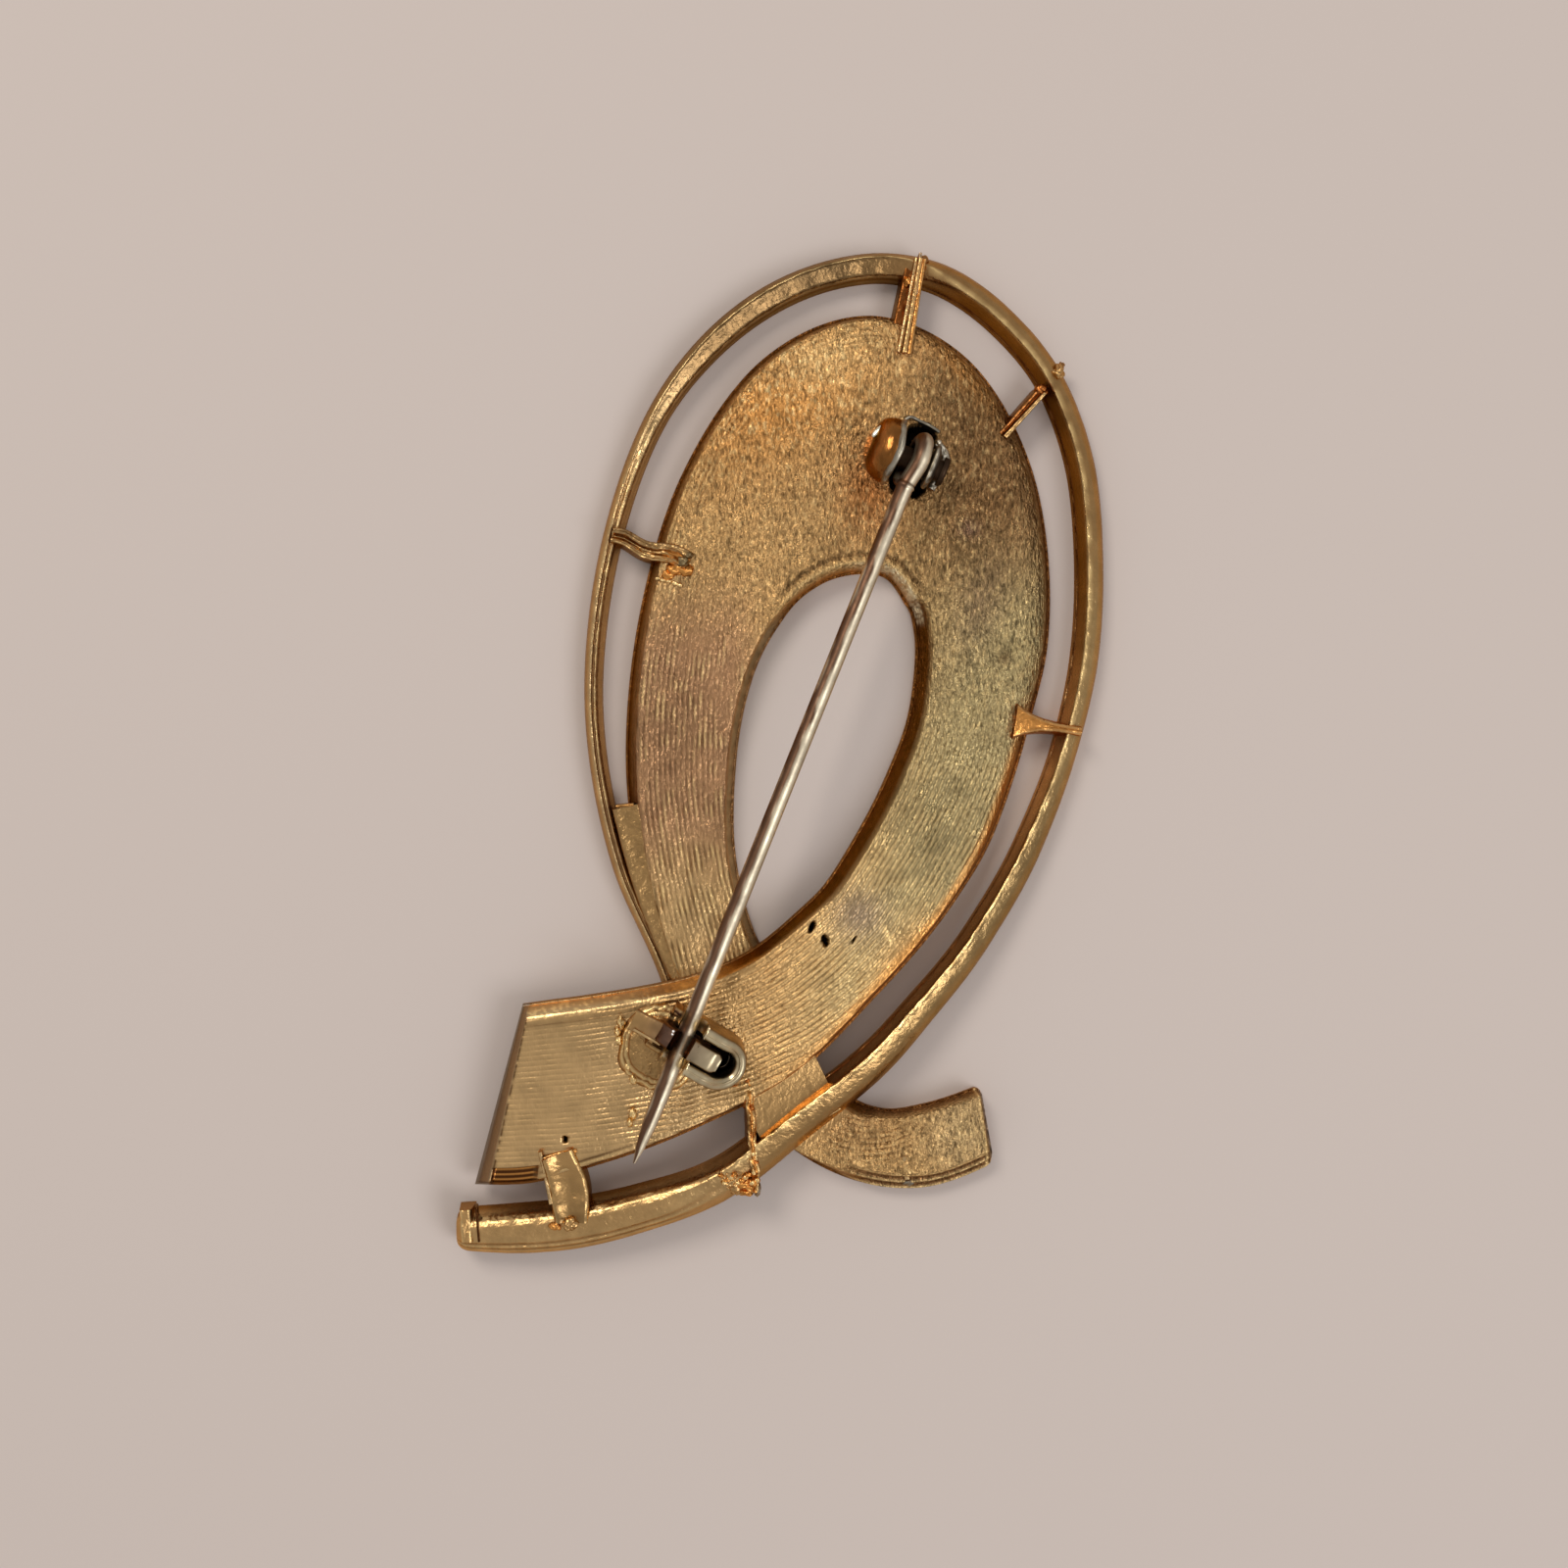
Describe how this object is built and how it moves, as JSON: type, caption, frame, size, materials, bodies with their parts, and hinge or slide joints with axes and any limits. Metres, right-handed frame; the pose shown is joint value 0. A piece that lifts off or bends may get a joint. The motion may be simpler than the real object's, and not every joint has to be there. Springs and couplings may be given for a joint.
{
  "type": "ribbon loop brooch",
  "caption": "Cast ribbon-loop brooch with an open ring outline, a hinged pin stem and a turning safety catch on its back.",
  "frame": {"origin": "bottom centre of the bounding box, on the plane of the front faces that the brooch lies on", "axes": "+X across the brooch, +Y along it from the tails to the closed top of the ring, +Z from the front to the back with the pin"},
  "size_m": [0.0332, 0.051, 0.0069],
  "materials": {
    "gold_plated_casting": "worn gold plating over a cast alloy, bright on the ridges and brown in the hollows",
    "hinge_rivet_steel": "dull, tarnished",
    "pin_steel": "drawn wire, tarnished dark on its shaded side",
    "catch_metal": "plated, worn, with dark tarnish"
  },
  "bodies": {
    "frame": {"ribbon_casting": "gold_plated_casting", "hinge_rivet": "hinge_rivet_steel"},
    "pin": {"pin_stem": "pin_steel"},
    "lock": {"catch_rotor": "catch_metal"}
  },
  "joints": [
    {"name": "pin_hinge", "type": "hinge", "parent": "frame", "child": "pin", "pos_m": [0.00652, 0.01453, 0.00305], "axis": [-0.9275, 0.3738, 0], "range_deg": [0, 95]},
    {"name": "catch_lock", "type": "hinge", "parent": "frame", "child": "lock", "pos_m": [-0.00507, -0.01422, 0.00515], "axis": [0.4993, 0.8665, 0], "range_deg": [0, 75]}
  ]
}
